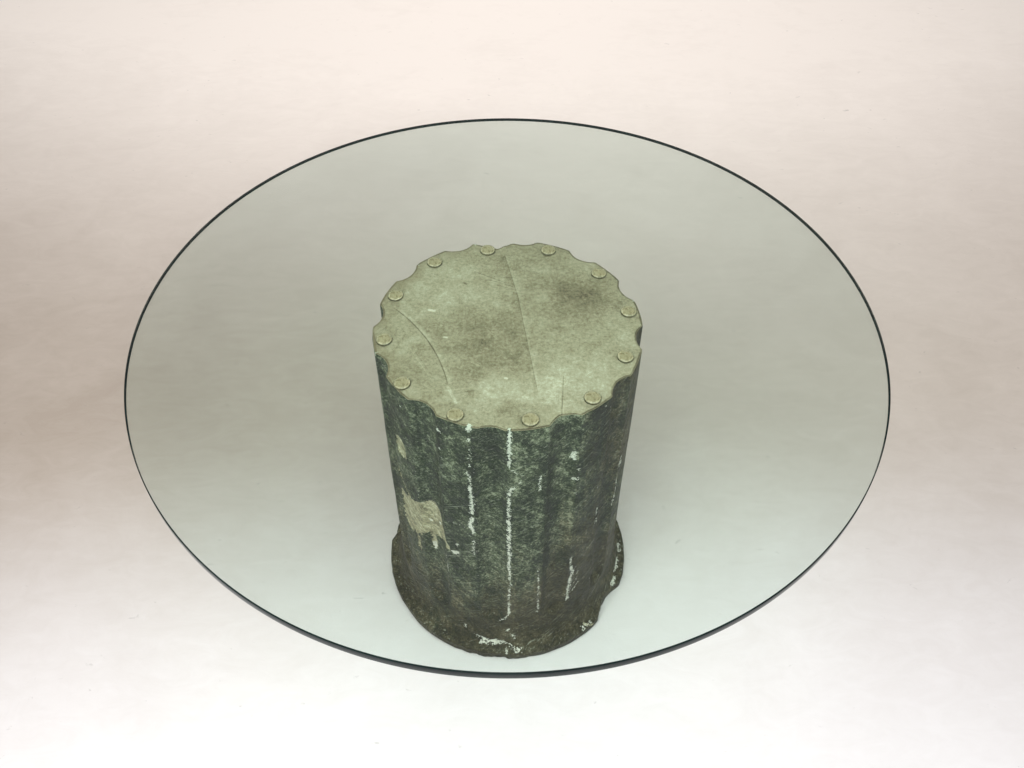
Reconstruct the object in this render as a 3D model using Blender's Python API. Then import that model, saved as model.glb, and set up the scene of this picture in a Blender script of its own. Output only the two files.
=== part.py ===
"""Round pedestal table: a loose glass disc resting on clear bumpers, on a fluted column drum.

The origin is the middle of the drum's foot, on the floor. +Z is up and -Y is the front.
Every length is in metres and every angle in degrees, counted from +X towards +Y.
"""
import math

import bmesh
import bpy
from mathutils import Matrix, Vector

# ---------- glass top ----------
GLASS_DIAMETER = 1.220
GLASS_THICKNESS = 0.015
GLASS_ARRIS = 0.0012          # small polished chamfer along both edges
GLASS_SEGMENTS = 160

# ---------- drum ----------
DRUM_HEIGHT = 0.700
SHAFT_RADIUS_TOP = 0.224      # over the fillets, the flat bands between the flutes
SHAFT_RADIUS_FOOT = 0.226     # where the shaft meets the flare
FLUTE_COUNT = 12
FLUTE_DEPTH = 0.012
FLUTE_WIDTH = 0.058           # straight across, from edge to edge
FLUTE_END_HEIGHT = 0.106      # lowest point of a flute's round end
FIRST_FILLET_ANGLE = 188.5    # middle of the fillet that carries bumper 1
FLARE_TOP_HEIGHT = 0.098      # the flare starts to leave the shaft here
LIP_HEIGHT = 0.026
LIP_RADIUS = 0.257
LIP_LEDGE = 0.004             # flat step between the lip's top edge and the flare
FLARE_STEPS = 7
DRUM_SEGMENTS = 144
FLUTE_SEGMENTS = 32
FLUTE_END_RINGS = 6

# ---------- losses in the drum ----------
LIP_BREAK_ANGLE = -31.0       # middle of the missing piece of lip
LIP_BREAK_WIDTH = 0.115       # along the rim
LIP_BREAK_DEPTH = 0.016       # inwards from the lip's rim, at its deepest
LIP_BREAK_HEIGHT = 0.060      # reaches up through the flare above it
LIP_BREAK_SEGMENTS = 8
TOP_BREAK_FILLET = 4          # the fillet whose top corner is broken off
TOP_BREAK_INSET = 0.025       # inwards from the fillets, at its deepest
TOP_BREAK_DROP = 0.040        # how far down the shaft the break reaches
TOP_BREAK_DEEPEST = -3.0      # angle from the middle of the fillet to the deepest point
TOP_BREAK_SIDES = (13.5, -19.5)   # angles from the middle of the fillet to the cutter's outer corners

# ---------- bumpers ----------
BUMPER_DIAMETER = 0.028
BUMPER_THICKNESS = 0.003
BUMPER_ROUND = 0.0012         # radius of the rounded rim
BUMPER_INSET = 0.0185         # bumper's middle to the edge of its fillet
BUMPER_SEGMENTS = 24
BUMPER_TURN = 1.0             # the ring of bumpers sits this much round from the fillets' middles
# Bumpers that are stuck on less evenly: number -> (further out, further round)
HAND_PLACEMENT = {
    4: (-0.010, 1.5),
    8: (-0.004, 0.0),
    11: (0.004, -2.0),
    12: (0.005, -1.5),
}

# ---------- fits ----------
REST_GAP = 0.0003             # between pieces that rest on each other
CUT_MARGIN = 0.030            # how far cutters stand out of what they cut

SMOOTH_ANGLE = 30.0

# ---------- derived sizes ----------
FLUTE_RADIUS = ((FLUTE_WIDTH / 2) ** 2 + FLUTE_DEPTH ** 2) / (2 * FLUTE_DEPTH)
FLUTE_PITCH = 360.0 / FLUTE_COUNT
BUMPER_BASE = DRUM_HEIGHT + REST_GAP
GLASS_BASE = BUMPER_BASE + BUMPER_THICKNESS + REST_GAP
BUMPER_CIRCLE_RADIUS = SHAFT_RADIUS_TOP - BUMPER_INSET
SHAFT_LEAN = math.atan2(SHAFT_RADIUS_FOOT - SHAFT_RADIUS_TOP, DRUM_HEIGHT - FLARE_TOP_HEIGHT)


def clear_scene():
    for old in list(bpy.data.objects):
        bpy.data.objects.remove(old, do_unlink=True)


def make_material(name, colour, roughness, metallic=0.0, transmission=0.0, ior=1.5):
    material = bpy.data.materials.new(name)
    material.use_nodes = True
    shader = material.node_tree.nodes["Principled BSDF"]
    shader.inputs["Base Color"].default_value = (*colour, 1.0)
    shader.inputs["Roughness"].default_value = roughness
    shader.inputs["Metallic"].default_value = metallic
    shader.inputs["Transmission Weight"].default_value = transmission
    shader.inputs["IOR"].default_value = ior
    material.diffuse_color = (*colour, 1.0)
    return material


def add_object(name, mesh, material=None):
    item = bpy.data.objects.new(name, mesh)
    bpy.context.scene.collection.objects.link(item)
    if material is not None:
        mesh.materials.append(material)
    return item


def shade_round(mesh):
    mesh.shade_smooth()
    mesh.set_sharp_from_angle(angle=math.radians(SMOOTH_ANGLE))


def polar(radius, angle, height):
    turn = math.radians(angle)
    return Vector((radius * math.cos(turn), radius * math.sin(turn), height))


def fillet_angle(number):
    """Middle of a fillet. They are numbered from 1, clockwise seen from above."""
    return FIRST_FILLET_ANGLE - FLUTE_PITCH * (number - 1)


def turned_mesh(name, profile, segments):
    """Closed solid of revolution about Z. The (radius, height) profile runs from its lowest
    point on the axis, round the outside, to its highest point on the axis."""
    shape = bmesh.new()
    rows = []
    for radius, height in profile:
        if radius == 0.0:
            rows.append([shape.verts.new((0.0, 0.0, height))])
        else:
            ring = [shape.verts.new(polar(radius, 360.0 * k / segments, height)) for k in range(segments)]
            rows.append(ring)
    for low, high in zip(rows, rows[1:]):
        for k in range(segments):
            after = (k + 1) % segments
            if len(low) == 1:
                shape.faces.new((low[0], high[after], high[k]))
            elif len(high) == 1:
                shape.faces.new((low[k], low[after], high[0]))
            else:
                shape.faces.new((low[k], low[after], high[after], high[k]))
    mesh = bpy.data.meshes.new(name)
    shape.to_mesh(mesh)
    shape.free()
    return mesh


def arc(centre, radius, start, end, steps):
    """Points of a circular arc in the (radius, height) plane."""
    points = []
    for k in range(steps + 1):
        turn = math.radians(start + (end - start) * k / steps)
        points.append((centre[0] + radius * math.cos(turn), centre[1] + radius * math.sin(turn)))
    return points


# ---------- drum ----------
def flare_profile():
    """Concave quarter ellipse from the lip's ledge up to the shaft."""
    outer = LIP_RADIUS - LIP_LEDGE
    spread = outer - SHAFT_RADIUS_FOOT
    rise = FLARE_TOP_HEIGHT - LIP_HEIGHT
    points = []
    for k in range(FLARE_STEPS + 1):
        turn = math.radians(90.0 * k / FLARE_STEPS)
        radius = outer - spread * math.sin(turn)
        height = FLARE_TOP_HEIGHT - rise * math.cos(turn)
        points.append((radius, height))
    return points


def drum_blank():
    profile = [(0.0, 0.0), (LIP_RADIUS, 0.0), (LIP_RADIUS, LIP_HEIGHT)]
    profile += flare_profile()
    profile += [(SHAFT_RADIUS_TOP, DRUM_HEIGHT), (0.0, DRUM_HEIGHT)]
    return turned_mesh("column_drum", profile, DRUM_SEGMENTS)


def flute_cutter_mesh():
    """Round bar with a domed lower end. Its own Z axis runs up the flute and its origin is the
    middle of the dome."""
    length = DRUM_HEIGHT + CUT_MARGIN - dome_height()
    dome = arc((0.0, 0.0), FLUTE_RADIUS, -90.0, 0.0, FLUTE_END_RINGS)
    profile = [(0.0, -FLUTE_RADIUS)] + dome[1:] + [(FLUTE_RADIUS, length), (0.0, length)]
    return turned_mesh("flute_cutter", profile, FLUTE_SEGMENTS)


def dome_height():
    """Height of the dome's middle: the dome meets the shaft half a flute's width below it."""
    return FLUTE_END_HEIGHT + FLUTE_WIDTH / 2


def lip_break_mesh():
    """Upright cutter with a curved inner face, standing across the lip's rim."""
    outer = LIP_RADIUS + CUT_MARGIN
    outline = []
    for k in range(LIP_BREAK_SEGMENTS + 1):
        share = 2.0 * k / LIP_BREAK_SEGMENTS - 1.0
        inner = LIP_RADIUS - LIP_BREAK_DEPTH * (1.0 - share ** 2)
        outline.append((inner, share * LIP_BREAK_WIDTH / 2))
    outline.append((outer, LIP_BREAK_WIDTH / 2))
    outline.append((outer, -LIP_BREAK_WIDTH / 2))
    return prism_mesh("lip_break_cutter", outline, -CUT_MARGIN, LIP_BREAK_HEIGHT)


def top_break_mesh():
    """Upright three-sided cutter, whose inner edge is the deepest line of the break."""
    outer = SHAFT_RADIUS_TOP + CUT_MARGIN
    inner_edge = polar(SHAFT_RADIUS_TOP - TOP_BREAK_INSET, TOP_BREAK_DEEPEST, 0.0)
    outline = [(inner_edge.x, inner_edge.y)]
    for side in reversed(TOP_BREAK_SIDES):
        corner = polar(outer, side, 0.0)
        outline.append((corner.x, corner.y))
    low = DRUM_HEIGHT - TOP_BREAK_DROP
    return prism_mesh("top_break_cutter", outline, low, DRUM_HEIGHT + CUT_MARGIN)


def prism_mesh(name, outline, low, high):
    """Upright prism over a closed outline of (x, y) points."""
    shape = bmesh.new()
    base = shape.faces.new([shape.verts.new((x, y, low)) for x, y in outline])
    grown = bmesh.ops.extrude_face_region(shape, geom=[base])
    raised = [item for item in grown["geom"] if isinstance(item, bmesh.types.BMVert)]
    bmesh.ops.translate(shape, verts=raised, vec=(0.0, 0.0, high - low))
    bmesh.ops.recalc_face_normals(shape, faces=shape.faces[:])
    mesh = bpy.data.meshes.new(name)
    shape.to_mesh(mesh)
    shape.free()
    return mesh


def add_cutter(target, name, mesh, placement):
    cutter = add_object(name, mesh)
    cutter.matrix_world = placement
    cutter.hide_render = True
    cutter.display_type = "WIRE"
    cut = target.modifiers.new(name, "BOOLEAN")
    cut.operation = "DIFFERENCE"
    cut.object = cutter


def apply_cuts(item):
    """Makes the cut shape the item's own mesh, so that its new edges can be set sharp."""
    depsgraph = bpy.context.evaluated_depsgraph_get()
    cut_shape = bpy.data.meshes.new_from_object(item.evaluated_get(depsgraph))
    item.modifiers.clear()
    item.data = cut_shape


def make_drum():
    stone = make_material("patinated_stone", (0.085, 0.10, 0.08), 0.72)
    drum = add_object("column_drum", drum_blank(), stone)
    flute_shape = flute_cutter_mesh()
    foot_radius = SHAFT_RADIUS_FOOT - FLUTE_DEPTH + FLUTE_RADIUS
    for number in range(1, FLUTE_COUNT + 1):
        angle = fillet_angle(number) - FLUTE_PITCH / 2
        turn = Matrix.Rotation(math.radians(angle), 4, "Z")
        shift = Matrix.Translation((foot_radius, 0.0, dome_height()))
        lean = Matrix.Rotation(-SHAFT_LEAN, 4, "Y")
        add_cutter(drum, f"flute_cutter_{number:02d}", flute_shape, turn @ shift @ lean)
    lip_turn = Matrix.Rotation(math.radians(LIP_BREAK_ANGLE), 4, "Z")
    add_cutter(drum, "lip_break_cutter", lip_break_mesh(), lip_turn)
    top_turn = Matrix.Rotation(math.radians(fillet_angle(TOP_BREAK_FILLET)), 4, "Z")
    add_cutter(drum, "top_break_cutter", top_break_mesh(), top_turn)
    apply_cuts(drum)
    shade_round(drum.data)


# ---------- bumpers ----------
def bumper_mesh():
    radius = BUMPER_DIAMETER / 2
    rim = arc((radius - BUMPER_ROUND, BUMPER_THICKNESS - BUMPER_ROUND), BUMPER_ROUND, 0.0, 90.0, 3)
    profile = [(0.0, 0.0), (radius, 0.0)] + rim + [(0.0, BUMPER_THICKNESS)]
    return turned_mesh("bumper", profile, BUMPER_SEGMENTS)


def make_bumpers():
    clear = make_material("clear_soft_plastic", (0.75, 0.75, 0.66), 0.25, transmission=0.7)
    shape = bumper_mesh()
    shape.materials.append(clear)
    shade_round(shape)
    for number in range(1, FLUTE_COUNT + 1):
        further_out, further_round = HAND_PLACEMENT.get(number, (0.0, 0.0))
        angle = fillet_angle(number) + BUMPER_TURN + further_round
        bumper = add_object(f"bumper_{number:02d}", shape)
        bumper.location = polar(BUMPER_CIRCLE_RADIUS + further_out, angle, BUMPER_BASE)


# ---------- glass ----------
def make_glass():
    """The glass lifts off along Z, so its origin is on that axis, at its underside."""
    tinted = make_material("clear_green_glass", (0.78, 0.92, 0.85), 0.02, transmission=1.0, ior=1.52)
    radius = GLASS_DIAMETER / 2
    profile = [
        (0.0, 0.0),
        (radius - GLASS_ARRIS, 0.0),
        (radius, GLASS_ARRIS),
        (radius, GLASS_THICKNESS - GLASS_ARRIS),
        (radius - GLASS_ARRIS, GLASS_THICKNESS),
        (0.0, GLASS_THICKNESS),
    ]
    glass = add_object("glass_top", turned_mesh("glass_top", profile, GLASS_SEGMENTS), tinted)
    shade_round(glass.data)
    glass.location = (0.0, 0.0, GLASS_BASE)


def main():
    clear_scene()
    make_drum()
    make_bumpers()
    make_glass()


main()
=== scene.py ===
"""Looks of the round pedestal table: green-edged glass, clear bumpers and a worn stone drum.

Every length is in metres. Angles are in degrees, counted from +X towards +Y, and -Y is the front.
"""

import math

import bpy
import numpy as np
from mathutils import Matrix, Vector, noise


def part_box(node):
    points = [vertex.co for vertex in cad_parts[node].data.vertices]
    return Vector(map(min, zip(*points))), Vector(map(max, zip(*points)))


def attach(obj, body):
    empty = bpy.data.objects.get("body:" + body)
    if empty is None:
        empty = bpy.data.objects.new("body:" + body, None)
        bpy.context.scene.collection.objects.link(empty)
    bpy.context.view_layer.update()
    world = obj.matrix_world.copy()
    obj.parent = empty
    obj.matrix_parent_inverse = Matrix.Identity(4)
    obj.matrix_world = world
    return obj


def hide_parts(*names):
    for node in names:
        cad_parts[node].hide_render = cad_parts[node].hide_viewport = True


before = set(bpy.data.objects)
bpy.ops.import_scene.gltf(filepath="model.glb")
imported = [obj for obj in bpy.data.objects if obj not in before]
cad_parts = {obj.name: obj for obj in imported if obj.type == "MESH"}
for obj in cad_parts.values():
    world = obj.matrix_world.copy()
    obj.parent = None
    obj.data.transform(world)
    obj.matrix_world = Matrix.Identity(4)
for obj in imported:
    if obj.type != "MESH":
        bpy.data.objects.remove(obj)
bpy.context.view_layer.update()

# ---------- sizes read from the frame ----------
GLASS_LOW, GLASS_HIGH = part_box("glass_top")
DRUM_LOW, DRUM_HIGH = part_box("column_drum")
GLASS_RADIUS = (GLASS_HIGH.x - GLASS_LOW.x) / 2
DRUM_HEIGHT = DRUM_HIGH.z
LIP_RADIUS = -DRUM_LOW.y
BUMPER_NODES = sorted(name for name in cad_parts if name.startswith("bumper_"))

# ---------- glass and bumpers ----------
GLASS_ARRIS = 0.0017
GLASS_INNER_RING = 0.30       # radius of a ring of vertices in each flat face
GLASS_SEGMENTS = 384
BUMPER_SEGMENTS = 48
BUMPER_BASE_EDGE = 0.0006     # height of the small chamfer round a bumper's stuck face
BUMPER_SQUEEZE = 0.00006      # how far a bumper's upper side is pressed down in the middle
SQUEEZE_TURN = 2.4            # radians from one bumper's lean to the next one's

# ---------- drum, repeating the CAD model's shape ----------
SHAFT_RADIUS_TOP = 0.224
SHAFT_RADIUS_FOOT = 0.226
FLUTE_COUNT = 12
FLUTE_DEPTH = 0.012
FLUTE_WIDTH = 0.058
FLUTE_END_HEIGHT = 0.106
FIRST_FILLET_ANGLE = 188.5
FLARE_TOP_HEIGHT = 0.098
LIP_HEIGHT = 0.026
LIP_LEDGE = 0.004
LIP_BREAK_ANGLE = -31.0
LIP_BREAK_WIDTH = 0.115
LIP_BREAK_DEPTH = 0.016
LIP_BREAK_HEIGHT = 0.060
TOP_BREAK_ANGLE = 98.5
TOP_BREAK_RADIUS = 0.199
TOP_BREAK_DEEPEST = -3.0
TOP_BREAK_SIDES = (13.5, -19.5)
TOP_BREAK_DROP = 0.040
FILLED_FLUTE_ANGLE = -96.5    # this flute is worn shallow towards the top
FILL_FROM_HEIGHT = 0.62
FILL_RUN = 0.07               # height over which the filling grows to its full depth
FILL_DEPTH = 0.0055

PITCH = 360.0 / FLUTE_COUNT
FIRST_FLUTE_ANGLE = FIRST_FILLET_ANGLE - PITCH / 2
FLUTE_RADIUS = ((FLUTE_WIDTH / 2) ** 2 + FLUTE_DEPTH ** 2) / (2 * FLUTE_DEPTH)
DOME_HEIGHT = FLUTE_END_HEIGHT + FLUTE_WIDTH / 2
HALF_FLUTE = math.degrees(math.asin(FLUTE_WIDTH / 2 / SHAFT_RADIUS_TOP))
METRES_PER_DEGREE = (SHAFT_RADIUS_TOP + SHAFT_RADIUS_FOOT) / 2 * math.pi / 180
NO_CUT = 1.0                  # radius of a cut where there is none, outside everything
NO_MARK = -0.03               # depth inside a mark where there is none near
FRONT = -90.0

# ---------- how finely the drum is meshed ----------
STEPS_PER_HALF_FLUTE = 11     # columns from a flute's middle to its arris, and on to the fillet's middle
FLARE_ROWS = 26
SHAFT_ROWS = 122
TOP_RINGS = 24
TOP_EDGE_DEPTH = 0.006        # the rows are closer together in this strip below the top face
EDGE_ROUND = 0.0025           # height of the rounding under the top face's edge


# ==================== Drum: shape ====================
def eased(count, pull):
    """0 to 1 in count steps that get shorter towards 1."""
    even = np.linspace(0.0, 1.0, count + 1)
    return (1 - pull) * even + pull * np.sin(even * math.pi / 2)


def column_angles():
    """Angles of the drum's columns, closest together at the flutes' arrises."""
    inner = HALF_FLUTE * eased(STEPS_PER_HALF_FLUTE, 0.55)
    outer = PITCH / 2 - (PITCH / 2 - HALF_FLUTE) * eased(STEPS_PER_HALF_FLUTE, 0.55)
    half = np.concatenate([inner, outer[::-1][1:]])
    one_pitch = np.concatenate([-half[::-1][:-1], half])[:-1]
    centres = FIRST_FLUTE_ANGLE + PITCH * np.arange(FLUTE_COUNT)
    return (centres[:, None] + one_pitch[None, :]).ravel()


def profile_rows():
    """(radius, height) of each row of the side, from the floor to the top edge, without flutes."""
    rows = [(LIP_RADIUS - 0.0035, 0.0), (LIP_RADIUS - 0.0012, 0.0012), (LIP_RADIUS, 0.004)]
    rows += [(LIP_RADIUS, height) for height in np.linspace(0.008, LIP_HEIGHT - 0.005, 5)]
    rows += [(LIP_RADIUS - 0.0004, LIP_HEIGHT - 0.0025), (LIP_RADIUS - 0.0016, LIP_HEIGHT - 0.0007)]
    outer = LIP_RADIUS - LIP_LEDGE
    spread = outer - SHAFT_RADIUS_FOOT
    for turn in np.radians(np.linspace(2.0, 90.0, FLARE_ROWS)):
        height = FLARE_TOP_HEIGHT - (FLARE_TOP_HEIGHT - LIP_HEIGHT) * math.cos(turn)
        rows.append((outer - spread * math.sin(turn), height))
    for share in np.linspace(0.0, 1.0, SHAFT_ROWS + 1)[1:]:
        height = FLARE_TOP_HEIGHT + share * (DRUM_HEIGHT - TOP_EDGE_DEPTH - FLARE_TOP_HEIGHT)
        rows.append((shaft_radius(height), height))
    for depth in (0.0040, 0.0022, 0.0010, 0.0003):
        rows.append((SHAFT_RADIUS_TOP, DRUM_HEIGHT - depth))
    return np.array(rows)


def shaft_radius(height):
    share = (DRUM_HEIGHT - height) / (DRUM_HEIGHT - FLARE_TOP_HEIGHT)
    return SHAFT_RADIUS_TOP + (SHAFT_RADIUS_FOOT - SHAFT_RADIUS_TOP) * share


def wrapped(degrees):
    return (np.asarray(degrees) + 180.0) % 360.0 - 180.0


def soft_min(first, second, round_off):
    """The smaller of two radii, with the edge where they meet rounded off."""
    overlap = np.clip(1 - np.abs(first - second) / round_off, 0, 1)
    return np.minimum(first, second) - overlap ** 2 * round_off / 4


def from_flute_middle(angle):
    """Degrees from the middle of the nearest flute."""
    return (angle - FIRST_FLUTE_ANGLE + PITCH / 2) % PITCH - PITCH / 2


def flute_radius(angle, height):
    """Radius of the flutes' hollow surface."""
    turn = np.radians(from_flute_middle(angle))
    in_filled_flute = np.abs(wrapped(angle - FILLED_FLUTE_ANGLE)) < PITCH / 2
    filled = np.clip((height - FILL_FROM_HEIGHT) / FILL_RUN, 0, 1) * in_filled_flute
    axis = shaft_radius(height) - FLUTE_DEPTH + FLUTE_RADIUS + FILL_DEPTH * filled
    below = np.clip(DOME_HEIGHT - height, 0, None)
    inside = FLUTE_RADIUS ** 2 - below ** 2 - (axis * np.sin(turn)) ** 2
    return np.where(inside > 0, axis * np.cos(turn) - np.sqrt(np.clip(inside, 0, None)), NO_CUT)


def lip_break_radius(angle, height):
    """The missing piece of lip: a shallow scoop through the rim and the flare above it."""
    turn = np.radians(wrapped(angle - LIP_BREAK_ANGLE))
    share = np.clip(LIP_RADIUS * np.sin(turn) / (LIP_BREAK_WIDTH / 2), -1, 1)
    inner = (LIP_RADIUS - LIP_BREAK_DEPTH * (1 - share ** 2)) / np.cos(turn)
    return np.where((np.abs(turn) < 0.5) & (height < LIP_BREAK_HEIGHT), inner, NO_CUT)


def top_break_radius(angle, height):
    """The corner broken off the top of one fillet at the back, running out down the shaft."""
    turn = wrapped(angle - TOP_BREAK_ANGLE)
    side = np.where(turn > TOP_BREAK_DEEPEST, TOP_BREAK_SIDES[0], TOP_BREAK_SIDES[1])
    share = np.clip((turn - TOP_BREAK_DEEPEST) / (side - TOP_BREAK_DEEPEST), 0, 1)
    depth = (SHAFT_RADIUS_TOP - TOP_BREAK_RADIUS) * (1 - share / 0.75)
    down = (DRUM_HEIGHT - height) / TOP_BREAK_DROP
    broken = SHAFT_RADIUS_TOP - depth * (1 - np.clip(down, 0, 1) ** 1.7)
    return np.where((share < 0.9) & (down < 1.1), broken, NO_CUT)


# ==================== Drum: chips, patches and stains on the unrolled side ====================
# A line is (width, [(angle, height), ...]); one point makes a round spot.
WHITE_LINES = [
    # the arris down the middle of the front
    (0.008, [(-89.4, 0.698), (-89.3, 0.652)]),
    (0.0066, [(-89.3, 0.652), (-89.5, 0.609)]),
    (0.0026, [(-89.5, 0.606), (-88.6, 0.602), (-82.4, 0.579)]),
    (0.004, [(-84.8, 0.567), (-87.9, 0.548)]),
    (0.0066, [(-88.5, 0.552), (-89.4, 0.532), (-89.6, 0.478), (-89.3, 0.43), (-89.2, 0.3)]),
    (0.004, [(-89.2, 0.3), (-88.7, 0.25), (-89.3, 0.205), (-89.3, 0.132)]),
    (0.0026, [(-89.4, 0.132), (-91.0, 0.117), (-94.0, 0.108)]),
    # the arris left of it
    (0.0085, [(-105.5, 0.699), (-105.5, 0.69)]),
    (0.006, [(-105.7, 0.669), (-105.7, 0.666)]),
    (0.003, [(-105.4, 0.645), (-105.8, 0.598)]),
    (0.0055, [(-108.0, 0.585), (-106.0, 0.574), (-105.9, 0.54)]),
    (0.0075, [(-105.9, 0.54), (-105.6, 0.505), (-105.5, 0.47)]),
    (0.0085, [(-105.6, 0.455), (-106.7, 0.43), (-105.2, 0.411)]),
    (0.0044, [(-105.3, 0.384), (-105.8, 0.35), (-105.4, 0.333)]),
    (0.003, [(-117.0, 0.421), (-109.4, 0.423)]),
    # the arrises right of it
    (0.0045, [(-76.2, 0.578), (-76.8, 0.56), (-76.3, 0.541)]),
    (0.0036, [(-75.8, 0.3), (-75.0, 0.234), (-74.8, 0.128)]),
    (0.011, [(-61.0, 0.604), (-60.8, 0.592)]),
    (0.0052, [(-58.8, 0.562)]),
    (0.0075, [(-60.4, 0.537), (-59.6, 0.537)]),
    (0.0048, [(-59.4, 0.496)]),
    (0.006, [(-58.3, 0.29), (-58.2, 0.258), (-56.8, 0.236)]),
    (0.0075, [(-57.0, 0.236), (-58.2, 0.205), (-58.6, 0.137)]),
    (0.0055, [(-47.3, 0.687)]),
    (0.0045, [(-46.6, 0.677)]),
    (0.006, [(-45.9, 0.467)]),
    (0.0032, [(-44.4, 0.405), (-44.7, 0.35)]),
    (0.011, [(-27.0, 0.474), (-27.5, 0.458)]),
    (0.005, [(-28.6, 0.424), (-27.8, 0.384), (-29.5, 0.343)]),
    # slanting scratches at the lower right
    (0.003, [(-52.3, 0.182), (-56.4, 0.16)]),
    (0.0016, [(-57.6, 0.19), (-52.0, 0.232)]),
    (0.0016, [(-58.0, 0.168), (-53.2, 0.205)]),
    (0.0014, [(-58.4, 0.215), (-54.8, 0.248)]),
    # the left side, and round the beige patch
    (0.0055, [(-119.2, 0.668), (-118.4, 0.664)]),
    (0.0042, [(-119.2, 0.621)]),
    (0.0045, [(-118.3, 0.599)]),
    (0.0026, [(-161.0, 0.681), (-146.0, 0.672), (-136.0, 0.661)]),
    (0.0058, [(-136.5, 0.669)]),
    (0.008, [(-130.4, 0.371)]),
    (0.01, [(-125.2, 0.374)]),
    (0.012, [(-115.4, 0.326), (-113.8, 0.328)]),
    (0.0062, [(-113.4, 0.357), (-113.6, 0.349)]),
    (0.0044, [(-121.5, 0.289), (-120.4, 0.269), (-120.2, 0.248)]),
    (0.0075, [(-129.3, 0.3), (-129.0, 0.281)]),
    # the front of the lip
    (0.003, [(-112.0, 0.068), (-111.8, 0.06)]),
    (0.003, [(-107.0, 0.049), (-104.4, 0.047)]),
    (0.0052, [(-104.6, 0.046), (-102.0, 0.045)]),
    (0.006, [(-103.0, 0.036), (-100.0, 0.033)]),
    (0.008, [(-101.6, 0.042), (-99.6, 0.04)]),
    (0.01, [(-98.4, 0.039), (-97.0, 0.037)]),
    (0.0075, [(-95.8, 0.043), (-95.2, 0.035)]),
    (0.0085, [(-93.6, 0.039), (-91.5, 0.037)]),
    (0.006, [(-90.6, 0.034), (-88.6, 0.031)]),
    (0.0062, [(-86.0, 0.052), (-87.8, 0.058)]),
    (0.0056, [(-89.0, 0.077), (-90.6, 0.069)]),
    (0.005, [(-90.4, 0.024)]),
    (0.0044, [(-86.4, 0.0265), (-83.4, 0.026)]),
]
# Chips along the lip's rim round the rest of the foot: (width, first angle, last angle, height)
RIM_CHIPS = [
    (0.0026, -52.0, -47.0, 0.025),
    (0.007, -24.0, -20.0, 0.03),
    (0.0075, -17.0, -9.0, 0.033),
    (0.006, -4.0, 0.0, 0.03),
    (0.006, 42.0, 47.0, 0.027),
    (0.009, 112.0, 121.0, 0.028),
]
WHITE_LINES += [(width, [(first, level), (last, level)]) for width, first, last, level in RIM_CHIPS]
# Outlines and lines where the skin has come away down to beige stone
BEIGE_PATCHES = [
    [(-149.5, 0.41), (-144.7, 0.405), (-137.5, 0.414), (-126.8, 0.443), (-123.0, 0.413), (-122.5, 0.382),
     (-119.5, 0.34), (-124.0, 0.33), (-130.0, 0.339), (-136.5, 0.311), (-144.0, 0.297), (-148.5, 0.32)],
]
BEIGE_LINES = [
    (0.028, [(-144.2, 0.556), (-143.4, 0.534)]),
    (0.006, [(-150.0, 0.475), (-147.4, 0.455), (-144.6, 0.43), (-141.0, 0.414)]),
    (0.01, [(-129.4, 0.34), (-129.0, 0.284)]),
    (0.008, [(-120.6, 0.35), (-118.5, 0.33)]),
    (0.006, [(-137.4, 0.3), (-137.4, 0.252)]),
    (0.004, [(-50.0, 0.028), (-46.5, 0.02)]),
]
# Where the surface is rubbed or crumbled to a pale grey-green, and one painted light beside an arris:
# (width, points, strength)
PALE_LINES = [
    (0.034, [(-74.0, 0.692), (-66.0, 0.694), (-57.0, 0.694)], 0.75),
    (0.04, [(-61.5, 0.69), (-60.0, 0.668)], 0.8),
    (0.03, [(-61.0, 0.604), (-60.5, 0.59)], 0.6),
    (0.018, [(-61.0, 0.49), (-60.0, 0.37)], 0.5),
    # painted light: the lighter side of the tone step left of the arris near -74 degrees
    (0.04, [(-83.0, 0.39), (-81.0, 0.23)], 0.35),
    (0.03, [(-112.4, 0.557), (-111.8, 0.552)], 0.35),
    (0.036, [(-96.6, 0.516)], 0.4),
    (0.05, [(-97.0, 0.36), (-99.0, 0.24)], 0.28),
    (0.05, [(-65.0, 0.56), (-66.0, 0.3)], 0.28),
    (0.016, [(-84.5, 0.611), (-79.0, 0.607)], 0.4),
    (0.05, [(-120.0, 0.13), (-106.0, 0.18)], 0.2),
]
# Dark skims and stains, and one painted shade beside an arris: (width, points, strength)
DARK_LINES = [
    (0.004, [(-118.5, 0.318), (-112.1, 0.311), (-104.3, 0.331)], 0.9),
    (0.02, [(-80.0, 0.634), (-77.5, 0.624)], 0.6),
    (0.003, [(-75.4, 0.65), (-75.1, 0.537), (-74.8, 0.4)], 0.6),
    (0.18, [(-46.0, 0.7), (-46.0, 0.12)], 0.65),
    # painted shade: the darker side of the tone step right of the arris near -74 degrees
    (0.026, [(-71.6, 0.6), (-71.4, 0.14)], 0.8),
    (0.006, [(-104.0, 0.69), (-104.0, 0.14)], 0.55),
    (0.006, [(-119.2, 0.69), (-119.2, 0.16)], 0.75),
    (0.022, [(-115.0, 0.56), (-115.0, 0.18)], 0.45),
    (0.007, [(-59.0, 0.69), (-59.0, 0.3)], 0.6),
    (0.007, [(-44.0, 0.69), (-44.0, 0.2)], 0.6),
    (0.07, [(-132.0, 0.008), (-91.0, 0.008), (-50.0, 0.008)], 0.8),
    (0.06, [(-97.0, 0.69), (-97.0, 0.56)], 0.35),
    (0.035, [(-45.0, 0.16), (-50.0, 0.11)], 0.45),
]


def across(first, second):
    """Distance round the side between two angles."""
    return wrapped(np.asarray(first) - second) * METRES_PER_DEGREE


def line_distance(angle, height, points):
    """Distance on the unrolled side from a line through the points."""
    if len(points) == 1:
        points = points * 2
    nearest = np.full(np.shape(angle), np.inf)
    for (angle_a, height_a), (angle_b, height_b) in zip(points, points[1:]):
        run = float(across(angle_b, angle_a))
        rise = height_b - height_a
        side = across(angle, angle_a)
        up = height - height_a
        share = np.clip((side * run + up * rise) / max(run ** 2 + rise ** 2, 1e-9), 0, 1)
        nearest = np.minimum(nearest, np.hypot(side - share * run, up - share * rise))
    return nearest


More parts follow.
